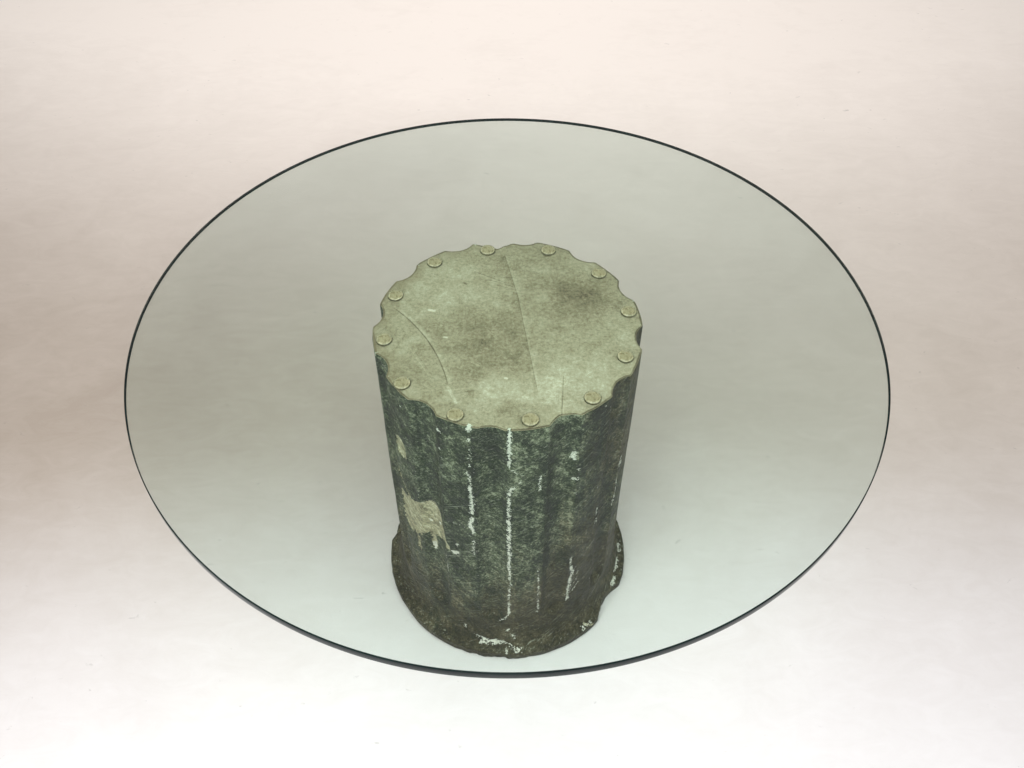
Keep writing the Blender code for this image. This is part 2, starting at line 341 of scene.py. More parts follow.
def patch_depth(angle, height, outline):
    """Distance in from a closed outline's edge, negative outside it."""
    closed = outline + outline[:1]
    edge = line_distance(angle, height, closed)
    inside = np.zeros(np.shape(angle), bool)
    for (angle_a, height_a), (angle_b, height_b) in zip(closed, closed[1:]):
        if height_a == height_b:
            continue
        crosses = (height_a > height) != (height_b > height)
        at = angle_a + (height - height_a) / (height_b - height_a) * (angle_b - angle_a)
        inside ^= crosses & (wrapped(angle) < at)
    return np.where(inside, edge, -edge)


def deepest(angle, height, lines):
    """How far inside the nearest of the lines each point is, negative outside them all."""
    depth = np.full(np.shape(angle), NO_MARK)
    for width, points in lines:
        depth = np.maximum(depth, width / 2 - line_distance(angle, height, points))
    return depth


def strongest(angle, height, lines):
    """Soft cover from 0 to 1 round a set of lines."""
    cover = np.zeros(np.shape(angle))
    for width, points, strength in lines:
        near = np.clip(1 - line_distance(angle, height, points) / (width / 2), 0, 1)
        cover = np.maximum(cover, strength * near * near * (3 - 2 * near))
    return cover


def waves(points, size, octaves=3):
    """Smooth noise, mostly from -1 to 1; size is the length of its largest waves."""
    scaled = points / size
    return np.array([noise.fractal(Vector(place), 1.0, 2.0, octaves) for place in scaled])


def worn_arrises(angle, height, slow, fast):
    """Depth inside chips that follow the arrises all round the shaft, wider at the back."""
    off_arris = np.abs(np.abs(from_flute_middle(angle)) - HALF_FLUTE) * METRES_PER_DEGREE
    at_back = np.clip((np.abs(wrapped(angle - FRONT)) - 66.0) / 8.0, 0, 1)
    wide = 0.0022 * slow + 0.0020 * fast - 0.0026 + 0.0020 * at_back
    on_shaft = (height > DOME_HEIGHT) & (height < DRUM_HEIGHT)
    return np.where(on_shaft, wide - off_arris, NO_MARK)


def brownness(angle, height, broad):
    """How far the green has worn or stained to brown: most at the foot and round the sides."""
    low = np.clip(1 - (height - 0.05) / 0.22, 0, 1) * (0.75 + 0.5 * broad)
    half_way = 0.42 * np.clip(1 - (height - 0.20) / 0.36, 0, 1) * (0.8 + 0.8 * broad)
    both_sides = 0.35 * np.clip((np.abs(wrapped(angle - FRONT)) - 30.0) / 60.0, 0, 1) * (0.6 + broad)
    right = 0.55 * np.clip(wrapped(angle - FRONT - 12.0) / 40.0, 0, 1) * (1 + broad)
    return np.clip(low + half_way + both_sides + right, 0, 1)


def side_fields(angle, height, place):
    """Everything that the side's shape and its material share, on the grid of side vertices."""
    slow = waves(place, 0.090).reshape(angle.shape)
    fast = waves(place + 3.0, 0.018).reshape(angle.shape)
    broad = waves(place + 7.0, 0.30, 2).reshape(angle.shape)
    beige = deepest(angle, height, BEIGE_LINES)
    for outline in BEIGE_PATCHES:
        beige = np.maximum(beige, patch_depth(angle, height, outline))
    return {
        "slow": slow,
        "fast": fast,
        "broad": broad,
        "white": np.maximum(deepest(angle, height, WHITE_LINES), worn_arrises(angle, height, slow, fast)),
        "beige": beige,
        "brown": brownness(angle, height, broad),
        "pale": strongest(angle, height, PALE_LINES),
        "stain_and_shade": strongest(angle, height, DARK_LINES),
    }


def side_radius(angle, row_radius, height, fields):
    """Radius of the worn side at each grid point."""
    wear = 0.0012 + 0.0016 * np.clip(fields["slow"] + 0.3, 0, 1)
    radius = soft_min(row_radius, flute_radius(angle, height), wear)
    radius = radius + 0.0011 * fields["broad"] + 0.00055 * fields["slow"] + 0.00028 * fields["fast"]
    radius = radius - 0.0016 * np.clip(fields["white"] / 0.0025 + 0.4, 0, 1)
    radius = radius - 0.0022 * np.clip(fields["beige"] / 0.003 + 0.3, 0, 1) * (1 + 0.4 * fields["fast"])
    radius = radius - 0.0020 * fields["pale"] * np.clip(0.5 + fields["fast"], 0, 1.4)
    broken = 0.0012 * fields["fast"] + 0.0012 * fields["slow"]
    radius = soft_min(radius, lip_break_radius(angle, height) + broken, 0.002)
    radius = soft_min(radius, top_break_radius(angle, height) + 1.6 * broken, 0.003)
    return lip_wear(angle, radius, height, fields)


def near_angle(angle, middle, half_width):
    """1 over the middle two thirds of a stretch round the drum, falling to 0 at its ends."""
    return np.clip(3 * np.clip(1 - np.abs(wrapped(angle - middle)) / half_width, 0, 1), 0, 1)


def lip_wear(angle, radius, height, fields):
    """The lip is uneven: broken back at the rear left, and chipped and torn at the front."""
    slow, fast = fields["slow"], fields["fast"]
    rear_left = near_angle(angle, 163.0, 14.0) * (0.0075 + 0.004 * fast)
    upper_edge = np.clip((height - 0.012) / 0.014, 0, 1)
    front = near_angle(angle, -91.0, 15.0) * upper_edge * (0.0030 + 0.004 * fast)
    uneven = 0.0012 * np.clip(slow, -1, 1) + 0.0011 * fast - 0.0008
    lower_edge = np.clip(1 - height / 0.010, 0, 1)
    under = np.clip(lower_edge * (0.0018 + 0.0030 * fast), 0, None)
    on_lip = np.clip((0.050 - height) / 0.020, 0, 1)

    floor_line = grid_points(angle[0], LIP_RADIUS, np.zeros(angle.shape[1]))
    torn = np.clip(0.0016 + 0.0052 * waves(floor_line, 0.022), 0, 0.0050)[None, :]
    torn = torn * np.clip(1.6 - np.abs(wrapped(angle + 96.0)) / 13.0, 0, 1)
    torn = torn * np.clip((0.024 - height) / 0.006, 0, 1)
    return radius - on_lip * (rear_left + front - uneven + under) - torn


# ==================== Drum: top face ====================
# Soft light and dark areas of the top face: (x, y, half width, half depth, darkness)
TOP_CLOUDS = [
    (-0.02, -0.015, 0.085, 0.05, 0.55),
    (-0.01, -0.075, 0.06, 0.04, 0.5),
    (0.122, 0.06, 0.06, 0.062, 0.75),
    (0.14, 0.09, 0.06, 0.03, 0.35),
    (0.06, 0.11, 0.07, 0.03, 0.25),
    (-0.085, -0.005, 0.06, 0.04, 0.25),
    (-0.01, 0.18, 0.1, 0.03, 0.3),
    (-0.075, -0.098, 0.05, 0.024, 0.25),
    (-0.002, -0.172, 0.017, 0.017, 0.75),
    (-0.135, -0.1, 0.06, 0.03, 0.15),
    (-0.105, 0.075, 0.07, 0.06, -0.4),
    (0.105, -0.12, 0.075, 0.045, -0.55),
    (-0.02, -0.15, 0.09, 0.03, -0.2),
    (0.06, -0.15, 0.06, 0.05, -0.2),
]
RIDGE_AT_CENTRE = 0.0265      # where the ridge crosses the X axis
RIDGE_SLOPE = -0.135
RIDGE_BEND_FROM = 0.070
RIDGE_BEND = -0.075
RIDGE_ENDS = (-0.150, 0.190)
RIDGE_STEP = 0.0008


def ridge_offset(x, y):
    """Distance to the right of the ridge across the top face."""
    line = RIDGE_AT_CENTRE + RIDGE_SLOPE * y + RIDGE_BEND * np.clip(y - RIDGE_BEND_FROM, 0, None)
    return x - line


def top_height(x, y, slow, fast):
    """Slightly uneven, and lower just left of the ridge; nowhere above the drum's height."""
    offset = ridge_offset(x, y)
    along = np.clip((y - RIDGE_ENDS[0]) / 0.03, 0, 1) * np.clip((RIDGE_ENDS[1] - y) / 0.03, 0, 1)
    step = RIDGE_STEP * np.exp(np.minimum(offset, 0) / 0.030) * (offset < 0) * along
    uneven = 0.00022 * np.clip(slow + 0.5, 0, 1.5) + 0.00012 * np.clip(fast + 0.5, 0, 1.5)
    return DRUM_HEIGHT - step - uneven


def top_stain(x, y):
    """Darkness of the clouds on the top face, negative where they are light."""
    dark = np.zeros(np.shape(x))
    for at_x, at_y, half_x, half_y, darkness in TOP_CLOUDS:
        dark += darkness * np.exp(-((x - at_x) / half_x) ** 2 - ((y - at_y) / half_y) ** 2)
    return dark


# ==================== Drum: mesh ====================
def grid_points(angle, radius, height):
    turn = np.radians(angle)
    return np.stack([radius * np.cos(turn), radius * np.sin(turn), height], -1)


def ring_faces(low_start, high_start, count):
    return [
        (low_start + k, low_start + (k + 1) % count, high_start + (k + 1) % count, high_start + k)
        for k in range(count)
    ]


def store(mesh, name, values):
    layer = mesh.attributes.new(name, "FLOAT", "POINT")
    layer.data.foreach_set("value", np.asarray(values, np.float32))


def drum_faces(ring_count, count):
    """Faces of the rings from the floor's edge up and in over the top, and of both middles."""
    faces = []
    for ring in range(ring_count - 1):
        faces += ring_faces(ring * count, (ring + 1) * count, count)
    last_ring = (ring_count - 1) * count
    top_middle = ring_count * count
    faces += [(last_ring + k, last_ring + (k + 1) % count, top_middle) for k in range(count)]
    faces += [((k + 1) % count, k, top_middle + 1) for k in range(count)]
    return faces


def drum_mesh():
    columns = column_angles()
    rows = profile_rows()
    angle = np.broadcast_to(columns, (len(rows), len(columns)))
    height = np.broadcast_to(rows[:, 1:2], angle.shape)
    row_radius = np.broadcast_to(rows[:, 0:1], angle.shape)
    fields = side_fields(angle, height, grid_points(angle, row_radius, height).reshape(-1, 3))
    radius = side_radius(angle, row_radius, height, fields)
    edge_round = np.clip(1 - (DRUM_HEIGHT - height) / EDGE_ROUND, 0, 1) ** 2
    radius = radius - 0.0012 * edge_round * (1 + 0.8 * np.clip(fields["fast"], -0.5, 1))
    side = grid_points(angle, radius, height)

    # Top face: rings that shrink from the rim to a middle point.
    rim = radius[-1] - 0.0008
    shares = np.concatenate([[1.0, 0.986], np.linspace(0.970, 0.0, TOP_RINGS)[:-1]])[:, None]
    flat = grid_points(columns, shares * rim, np.full((len(shares), len(columns)), DRUM_HEIGHT))
    x, y = flat[..., 0], flat[..., 1]
    slow = waves(flat.reshape(-1, 3), 0.070).reshape(x.shape)
    fast = waves(flat.reshape(-1, 3) + 5.0, 0.016, 2).reshape(x.shape)
    top = np.stack([x, y, top_height(x, y, slow, fast)], -1)

    middles = [[0, 0, DRUM_HEIGHT - 0.0005], [0, 0, 0.0]]
    points = np.concatenate([side.reshape(-1, 3), top.reshape(-1, 3), middles])
    mesh = bpy.data.meshes.new("column_drum_worn")
    mesh.from_pydata(points.tolist(), [], drum_faces(len(rows) + len(shares), len(columns)))
    mesh.update()

    def both(on_side, on_top):
        """One value for each vertex: the side's, the top's, and the two middles'."""
        on_top = np.broadcast_to(on_top, x.shape).ravel()
        return np.concatenate([np.ravel(on_side), on_top, [on_top[-1], 0.0]])

    rim_white = np.where(shares > 0.985, fields["white"][-1] + 0.0005, NO_MARK)
    rim_line = np.where(shares > 0.995, 2.2 + 1.6 * fast, 0.0)
    store(mesh, "white_depth", both(np.clip(fields["white"], -0.02, 0.01) * 1000, rim_white * 1000))
    store(mesh, "beige_depth", both(np.clip(fields["beige"], -0.02, 0.02) * 1000, -20.0))
    store(mesh, "brown", both(fields["brown"], top_brown(x, y, rim, slow)))
    store(mesh, "pale", both(fields["pale"], 0.0))
    store(mesh, "stain_and_shade", both(fields["stain_and_shade"], top_stain(x, y) + rim_line))
    store(mesh, "on_top", both(np.where(height > DRUM_HEIGHT - 0.0008, 1.0, 0.0), 1.0))
    return mesh


def top_brown(x, y, rim, slow):
    """A browner band round the left and rear edge of the top face."""
    inset = rim - np.hypot(x, y)
    band = np.clip(1 - inset / 0.030, 0, 1)
    left_and_rear = np.clip(0.35 - 2.2 * x + 1.0 * y, 0, 1)
    return np.clip(band * left_and_rear * (0.9 + 0.8 * slow), 0, 1)


# ==================== Node helpers ====================
class Nodes:
    """Short names for building one material's nodes."""

    def __init__(self, name):
        self.material = bpy.data.materials.new(name)
        self.material.use_nodes = True
        self.tree = self.material.node_tree
        self.tree.nodes.clear()
        self.output = self.tree.nodes.new("ShaderNodeOutputMaterial")

    def add(self, kind, **settings):
        node = self.tree.nodes.new(kind)
        for key, value in settings.items():
            setattr(node, key, value)
        return node

    def link(self, source, target):
        self.tree.links.new(source, target)

    def put(self, value, socket):
        if isinstance(value, bpy.types.NodeSocket):
            self.link(value, socket)
        elif isinstance(value, tuple) and len(value) == 3 and socket.type == "RGBA":
            socket.default_value = (*value, 1.0)
        else:
            socket.default_value = value

    def filled(self, kind, **inputs):
        """First output of a new node. The names of its inputs have _ in place of their spaces."""
        node = self.add(kind)
        for name, value in inputs.items():
            self.put(value, node.inputs[name.replace("_", " ")])
        return node.outputs[0]

    def math(self, operation, first, second=0.0, third=0.0, clamp=False):
        node = self.add("ShaderNodeMath", operation=operation, use_clamp=clamp)
        for socket, value in zip(node.inputs, (first, second, third)):
            self.put(value, socket)
        return node.outputs[0]

    def plus(self, first, second):
        return self.math("ADD", first, second)

    def minus(self, first, second):
        return self.math("SUBTRACT", first, second)

    def times(self, first, second):
        return self.math("MULTIPLY", first, second)

    def without_sign(self, value):
        return self.math("ABSOLUTE", value)

    def vector(self, operation, first, second=(0.0, 0.0, 0.0)):
        node = self.add("ShaderNodeVectorMath", operation=operation)
        self.put(first, node.inputs[0])
        self.put(second, node.inputs[1])
        return node.outputs["Value" if operation in ("DOT_PRODUCT", "LENGTH", "DISTANCE") else "Vector"]

    def noise(self, place, scale, detail=4.0, roughness=0.55, distortion=0.0):
        settings = {"Scale": scale, "Detail": detail, "Roughness": roughness, "Distortion": distortion}
        return self.filled("ShaderNodeTexNoise", Vector=place, **settings)

    def centred(self, value):
        """A noise from 0 to 1 moved to lie about 0."""
        return self.minus(value, 0.5)

    def total(self, *parts):
        """Sum of (value, weight) pairs."""
        value, weight = parts[0]
        result = self.times(value, weight)
        for value, weight in parts[1:]:
            result = self.math("MULTIPLY_ADD", value, weight, result)
        return result

    def ranged(self, value, low, high, to_low=0.0, to_high=1.0):
        """A smooth step from to_low to to_high while the value goes from low to high."""
        node = self.add("ShaderNodeMapRange", interpolation_type="SMOOTHSTEP")
        for socket, item in zip(node.inputs, (value, low, high, to_low, to_high)):
            self.put(item, socket)
        return node.outputs["Result"]

    def mix(self, share, first, second):
        """Colour that goes from the first to the second; the share is clamped to 0 to 1."""
        node = self.add("ShaderNodeMix", data_type="RGBA")
        self.put(share, node.inputs["Factor"])
        self.put(first, node.inputs[6])         # 6, 7 and output 2 are this node's colour sockets
        self.put(second, node.inputs[7])
        return node.outputs[2]

    def ramp(self, value, *stops):
        node = self.add("ShaderNodeValToRGB")
        self.put(value, node.inputs["Fac"])
        elements = node.color_ramp.elements
        while len(elements) < len(stops):
            elements.new(0.5)
        for element, (position, colour) in zip(elements, stops):
            element.position = position
            element.color = (*colour, 1.0)
        return node.outputs["Color"]

    def attribute(self, name):
        return self.add("ShaderNodeAttribute", attribute_name=name).outputs["Fac"]

    def place(self):
        return self.add("ShaderNodeTexCoord").outputs["Object"]

    def split(self, place):
        node = self.add("ShaderNodeSeparateXYZ")
        self.link(place, node.inputs[0])
        return node.outputs["X"], node.outputs["Y"], node.outputs["Z"]

    def bump(self, height, distance, strength):
        return self.filled("ShaderNodeBump", Strength=strength, Distance=distance, Height=height)

    def surface(self, **inputs):
        """The material, with a Principled shader as its surface."""
        self.link(self.filled("ShaderNodeBsdfPrincipled", **inputs), self.output.inputs["Surface"])
        return self.material


# ==================== Materials ====================
# Marks on the top face: (light above 0 or dark below, width, start, end) in metres on the face
TOP_SCRATCHES = [
    (-0.55, 0.0016, (-0.059, 0.136), (-0.006, 0.108)),
    (-0.5, 0.0014, (-0.025, 0.123), (0.012, 0.12)),
    (-0.45, 0.0012, (-0.03, 0.114), (0.008, 0.098)),
    (-0.4, 0.0012, (-0.019, 0.101), (0.01, 0.09)),
    (-0.75, 0.0014, (0.0875, -0.112), (0.082, -0.192)),
    (0.16, 0.0026, (0.084, -0.095), (0.079, -0.185)),
    (0.5, 0.005, (-0.094, -0.135), (-0.08, -0.168)),
    (0.3, 0.002, (-0.096, -0.143), (-0.058, -0.137)),
    (-0.4, 0.0012, (-0.086, -0.15), (-0.05, -0.142)),
    (0.14, 0.002, (0.03, -0.16), (0.048, -0.04)),
    (-0.25, 0.0012, (-0.15, -0.06), (-0.115, -0.12)),
    (0.25, 0.0018, (-0.16, -0.05), (-0.122, -0.118)),
    (0.22, 0.0016, (-0.04, 0.0), (0.01, -0.07)),
    (0.9, 0.0055, (-0.132, 0.038), (-0.125, 0.036)),
    (0.95, 0.004, (-0.105, -0.026), (-0.101, -0.027)),
    (0.95, 0.0042, (-0.004, -0.116), (-0.002, -0.117)),
    (0.7, 0.003, (-0.112, 0.002), (-0.11, 0.001)),
    (-0.9, 0.0034, (-0.076, 0.106), (-0.073, 0.104)),
    (0.5, 0.0026, (-0.058, -0.082), (-0.046, -0.09)),
]
SAW_ARC_CENTRE = (-0.418, -0.200, 0.0)
SAW_ARC_RADIUS = 0.331


def segment_distance(n, place, start, end):
    """Distance in plan from a straight mark on the top face."""
    run = Vector((end[0] - start[0], end[1] - start[1], 0.0))
    from_start = n.vector("SUBTRACT", place, (start[0], start[1], 0.0))
    along = n.vector("DOT_PRODUCT", from_start, tuple(run))
    share = n.math("DIVIDE", along, run.length_squared, clamp=True)
    scaled = n.add("ShaderNodeVectorMath", operation="SCALE")
    scaled.inputs[0].default_value = tuple(run)
    n.link(share, scaled.inputs["Scale"])
    return n.vector("LENGTH", n.vector("SUBTRACT", from_start, scaled.outputs["Vector"]))


def top_marks(n, flat_place):
    """Sum of the scratches and specks, negative where they are dark."""
    total = 0.0
    for tone, width, start, end in TOP_SCRATCHES:
        distance = segment_distance(n, flat_place, start, end)
        total = n.plus(total, n.ranged(distance, width * 0.25, width * 0.75, tone, 0.0))
    return total


def saw_arc(n, flat_place, broken_up):
    """The long curved saw mark on the left of the top face, faded where the noise is low."""
    off = n.minus(n.vector("DISTANCE", flat_place, SAW_ARC_CENTRE), SAW_ARC_RADIUS)
    dark = n.ranged(n.without_sign(off), 0.0004, 0.0014, 0.95, 0.0)
    light = n.ranged(n.without_sign(n.minus(off, 0.003)), 0.0, 0.005, -0.35, 0.0)
    _, y, _ = n.split(flat_place)
    ends = n.times(n.ranged(y, -0.135, -0.120), n.ranged(y, 0.045, 0.030))
    return n.times(n.plus(dark, light), n.times(ends, n.ranged(broken_up, 0.30, 0.55, 0.35, 1.0)))


def ridge_shade_and_line(n, flat_place):
    """Painted shade left of the ridge, the thin dark line along it, and painted light to its right."""
    x, y, _ = n.split(flat_place)
    bend = n.times(n.math("MAXIMUM", n.minus(y, RIDGE_BEND_FROM), 0.0), RIDGE_BEND)
    offset = n.minus(x, n.plus(n.math("MULTIPLY_ADD", y, RIDGE_SLOPE, RIDGE_AT_CENTRE), bend))
    front, back = RIDGE_ENDS
    ends = n.times(n.ranged(y, front - 0.01, front + 0.03), n.ranged(y, back + 0.005, back - 0.02))
    on_left = n.math("LESS_THAN", offset, 0.0)
    # painted shade left of the ridge's step and painted light just right of it
    shade = n.times(n.ranged(offset, -0.050, 0.0, 0.0, 0.22), on_left)
    line = n.ranged(n.without_sign(offset), 0.0002, 0.0012, 0.45, 0.0)
    painted_light_right = n.times(n.ranged(offset, 0.014, 0.0, 0.0, -0.20), n.minus(1.0, on_left))
    return n.times(n.plus(n.plus(shade, line), painted_light_right), ends)


def twisted(n, place, degrees_per_metre):
    """The place turned about Z more with height, so that streaks along Z lean over."""
    _, _, z = n.split(place)
    turn = n.add("ShaderNodeVectorRotate", rotation_type="Z_AXIS")
    n.link(place, turn.inputs["Vector"])
    n.link(n.times(z, math.radians(degrees_per_metre)), turn.inputs["Angle"])
    return turn.outputs["Vector"]


def stone_noises(n):
    """The noises that the drum's layers share, each from 0 to 1 about a middle of 0.5."""
    place = n.place()
    leaning = n.vector("MULTIPLY", twisted(n, place, 260.0), (75.0, 75.0, 9.0))
    return {
        "place": place,
        "upright": n.noise(n.vector("MULTIPLY", place, (52.0, 52.0, 6.0)), 1.0, 6.0, 0.62, 0.4),
        "leaning": n.noise(leaning, 1.0, 6.0, 0.66, 0.3),
        "blotches": n.noise(place, 15.0, 8.0, 0.64, 0.5),
        "clouds": n.noise(n.vector("ADD", place, (4.0, 1.0, 2.0)), 42.0, 7.0, 0.70, 1.3),
        "fine": n.noise(n.vector("ADD", place, (2.0, 3.0, 1.0)), 120.0, 5.0, 0.78, 0.8),
        "grain": n.noise(place, 250.0, 3.0, 0.70),
        "edge_large": n.noise(place, 75.0, 4.0, 0.65),
        "edge_small": n.noise(place, 260.0, 3.0, 0.65),
    }


def summed(n, noises, **weights):
    """Weighted sum of the named noises, each moved to lie about 0."""
    return n.total(*[(n.centred(noises[name]), weight) for name, weight in weights.items()])


def side_paint(n, noises):
    """Dark green-grey paint and patina, brushed, rubbed, and browner towards the foot."""
    worn_brown = n.attribute("brown")
    tone = summed(n, noises, blotches=0.75, clouds=0.65, upright=0.50, leaning=0.60, fine=0.95, grain=1.00)
    # the pale and dark lines: rubbed patches, skims and stains, with painted light and painted shade
    # beside one arris
    tone = n.total((tone, 1.0), (n.attribute("pale"), 0.24), (n.attribute("stain_and_shade"), -0.14))
    tone = n.plus(n.times(tone, n.ranged(worn_brown, 0.35, 0.90, 1.0, 0.62)), 0.49)
    green = n.ramp(
        tone,
        (0.28, (0.006, 0.009, 0.005)),
        (0.42, (0.020, 0.029, 0.0155)),
        (0.51, (0.041, 0.055, 0.029)),
        (0.61, (0.088, 0.105, 0.060)),
        (0.80, (0.290, 0.315, 0.220)),
    )
    brown = n.ramp(
        tone,
        (0.26, (0.008, 0.006, 0.003)),
        (0.45, (0.034, 0.028, 0.013)),
        (0.58, (0.072, 0.062, 0.032)),
        (0.80, (0.230, 0.205, 0.130)),
    )
    share = n.plus(worn_brown, summed(n, noises, clouds=1.0, upright=1.2))
    return n.mix(n.ranged(share, 0.15, 0.90, 0.0, 0.92), green, brown)


def side_marks(n, noises, paint):
    """Curling pale contours, fine scratches, pale flecks and dark pits over the paint."""
    place = noises["place"]
    curls = n.noise(n.vector("ADD", place, (1.0, 5.0, 3.0)), 24.0, 3.0, 0.5, 1.6)
    contour = n.ranged(n.without_sign(n.minus(curls, 0.54)), 0.005, 0.0, 0.0, 0.34)
    contour = n.times(contour, n.ranged(noises["blotches"], 0.45, 0.60))
    paint = n.mix(contour, paint, (0.270, 0.290, 0.225))
    scratch = n.noise(n.vector("MULTIPLY", twisted(n, place, -420.0), (230.0, 230.0, 15.0)), 1.0, 3.0, 0.5)
    scratch = n.times(n.ranged(scratch, 0.59, 0.67, 0.0, 0.62), n.ranged(noises["clouds"], 0.44, 0.58))
    paint = n.mix(scratch, paint, (0.340, 0.365, 0.290))
    flecks = n.ranged(noises["grain"], 0.64, 0.70)
    flecks = n.times(flecks, n.ranged(noises["blotches"], 0.46, 0.62, 0.1, 0.8))
    paint = n.mix(flecks, paint, (0.420, 0.440, 0.350))
    return n.mix(n.ranged(noises["grain"], 0.40, 0.30, 0.0, 0.55), paint, (0.016, 0.018, 0.012))


def bare_stone(n, noises):
    """Beige stone where the skin has come away, and how much of it shows."""
    depth = n.plus(n.attribute("beige_depth"), summed(n, noises, edge_large=20.0, edge_small=9.0))
    shade = summed(n, noises, leaning=0.45, clouds=0.45, fine=0.45, grain=0.35)
    colour = n.ramp(
        n.plus(shade, 0.50),
        (0.36, (0.090, 0.082, 0.044)),
        (0.45, (0.230, 0.214, 0.128)),
        (0.54, (0.400, 0.380, 0.242)),
        (0.63, (0.620, 0.600, 0.440)),
    )
    return n.ranged(depth, -0.4, 0.6), colour


def chalk_chips(n, noises):
    """White chips, with ragged edges, and how much of them shows."""
    ragged = summed(n, noises, edge_small=17.0, edge_large=9.0, grain=8.0)
    depth = n.plus(n.attribute("white_depth"), ragged)
    colour = n.ramp(noises["fine"], (0.36, (0.380, 0.400, 0.320)), (0.54, (0.720, 0.730, 0.640)))
    return n.ranged(depth, 0.9, 1.35), colour


def sage_top(n, noises):
    """Sage-coloured top face with clouds, saw marks and scratches, painted shade and light along the
    ridge, and its relief.
    """
    place = noises["place"]
    flat_place = n.vector("MULTIPLY", place, (1.0, 1.0, 0.0))
    fine = n.noise(place, 170.0, 5.0, 0.72, 0.3)
    clouds = n.noise(place, 19.0, 7.0, 0.66, 0.6)
    hairs = n.noise(n.vector("MULTIPLY", place, (420.0, 30.0, 1.0)), 1.0, 3.0, 0.5, 0.4)
    # marks: the saw arc, the ridge's painted shade and light and its dark line, and the scratches and
    # specks
    marks = n.plus(saw_arc(n, flat_place, clouds), ridge_shade_and_line(n, flat_place))
    marks = n.minus(marks, top_marks(n, flat_place))
    dark = n.total(
        (n.attribute("stain_and_shade"), 0.30),
        (n.centred(clouds), 0.80),
        (n.centred(fine), 0.95),
        (summed(n, noises, clouds=0.60, grain=0.45), 1.0),
        (n.ranged(hairs, 0.63, 0.70), 0.10),
        (marks, 0.45),
    )
    colour = n.ramp(
        n.plus(dark, 0.47),
        (0.02, (0.600, 0.550, 0.430)),
        (0.28, (0.420, 0.374, 0.270)),
        (0.50, (0.318, 0.274, 0.182)),
        (0.72, (0.212, 0.175, 0.108)),
        (0.98, (0.095, 0.072, 0.040)),
    )
    colour = n.mix(n.times(n.attribute("brown"), 0.6), colour, (0.215, 0.165, 0.095))
    relief = n.total((fine, 0.35), (marks, -0.35))
    return colour, relief


def stone_material():
    n = Nodes("patinated_stone")
    noises = stone_noises(n)
    side = side_marks(n, noises, side_paint(n, noises))
    bare_share, bare_colour = bare_stone(n, noises)
    chalk_share, chalk_colour = chalk_chips(n, noises)
    side = n.mix(chalk_share, n.mix(bare_share, side, bare_colour), chalk_colour)
    top, top_relief = sage_top(n, noises)
    top = n.mix(n.times(chalk_share, 0.8), top, chalk_colour)
    on_top = n.ranged(n.attribute("on_top"), 0.35, 0.65)
    side_relief = n.total(
        (noises["leaning"], 0.9),
        (noises["clouds"], 1.0),
        (noises["grain"], 0.45),
        (chalk_share, -0.30),
        (bare_share, -0.25),
    )
    relief = n.plus(n.times(side_relief, n.minus(1.0, on_top)), n.times(top_relief, on_top))
    rough = n.ranged(noises["clouds"], 0.35, 0.65, 0.46, 0.72)
    return n.surface(
        Base_Color=n.mix(on_top, side, top),
        Roughness=n.total((rough, 1.0), (chalk_share, 0.2), (on_top, 0.15)),
        Specular_IOR_Level=0.25,
        Normal=n.bump(relief, 0.0016, 0.9),
    )


def glass_material():
    """Clear float glass with the faint green of its iron; its shadow is light, as the real one is."""
    n = Nodes("green_glass")
    glass = n.filled("ShaderNodeBsdfGlass", Color=(1.0, 1.0, 1.0), Roughness=0.0, IOR=1.52)
    clear = n.filled("ShaderNodeBsdfTransparent", Color=(0.92, 0.95, 0.93))
    light = n.add("ShaderNodeLightPath")
    mixed = n.add("ShaderNodeMixShader")
    n.link(light.outputs["Is Shadow Ray"], mixed.inputs[0])
    n.link(glass, mixed.inputs[1])
    n.link(clear, mixed.inputs[2])
    n.link(mixed.outputs[0], n.output.inputs["Surface"])
    tint = n.filled("ShaderNodeVolumeAbsorption", Color=(0.217, 0.650, 0.442), Density=12.0)
    n.link(tint, n.output.inputs["Volume"])
    return n.material


def glass_edge_material():
    """The polished edge: so much green glass lies behind it that it looks nearly black."""
    n = Nodes("green_glass_edge")
    place = n.place()
    streaks = n.noise(n.vector("MULTIPLY", place, (16.0, 16.0, 500.0)), 1.0, 3.0, 0.5)
    ripple = n.noise(place, 30.0, 2.0, 0.5)
    shade = n.total((streaks, 0.5), (ripple, 0.5))
    return n.surface(
        Base_Color=n.ramp(shade, (0.35, (0.005, 0.011, 0.011)), (0.65, (0.012, 0.024, 0.023))),
        Roughness=n.ranged(streaks, 0.35, 0.65, 0.10, 0.24),
        Specular_IOR_Level=0.12,
        Normal=n.bump(ripple, 0.0008, 0.4),
    )


def bumper_material():
    """Clear soft plastic, a little yellowed, with the stone and the stuck patch showing through, a painted
    ring of focused light inside its rim, and a dark outer edge.
    """
    n = Nodes("clear_bumper")
    place = n.place()
    radius = n.vector("LENGTH", n.vector("MULTIPLY", place, (1.0, 1.0, 0.0)))
    mottle = n.noise(place, 480.0, 4.0, 0.65, 0.5)
    smudge = n.noise(n.vector("ADD", place, (0.3, 0.1, 0.0)), 130.0, 3.0, 0.55)
    inner = n.ramp(
        n.total((mottle, 0.6), (smudge, 0.4)),
        (0.34, (0.290, 0.232, 0.130)),
        (0.50, (0.375, 0.305, 0.180)),
        (0.66, (0.460, 0.380, 0.240)),
    )
    # painted light: a lighter ring of light focused by the clear plastic, just inside the dark outer edge
    ring = n.ramp(mottle, (0.40, (0.500, 0.415, 0.270)), (0.60, (0.640, 0.545, 0.380)))
    edge = n.total((radius, 1.0), (n.centred(smudge), 0.0030))
    colour = n.mix(n.ranged(edge, 0.0096, 0.0108), inner, ring)
    return n.surface(
        Base_Color=n.mix(n.ranged(radius, 0.0122, 0.0132), colour, (0.130, 0.108, 0.055)),
        Roughness=n.ranged(smudge, 0.35, 0.65, 0.22, 0.40),
        IOR=1.49,
        Transmission_Weight=0.15,
        Normal=n.bump(smudge, 0.0003, 0.5),
    )


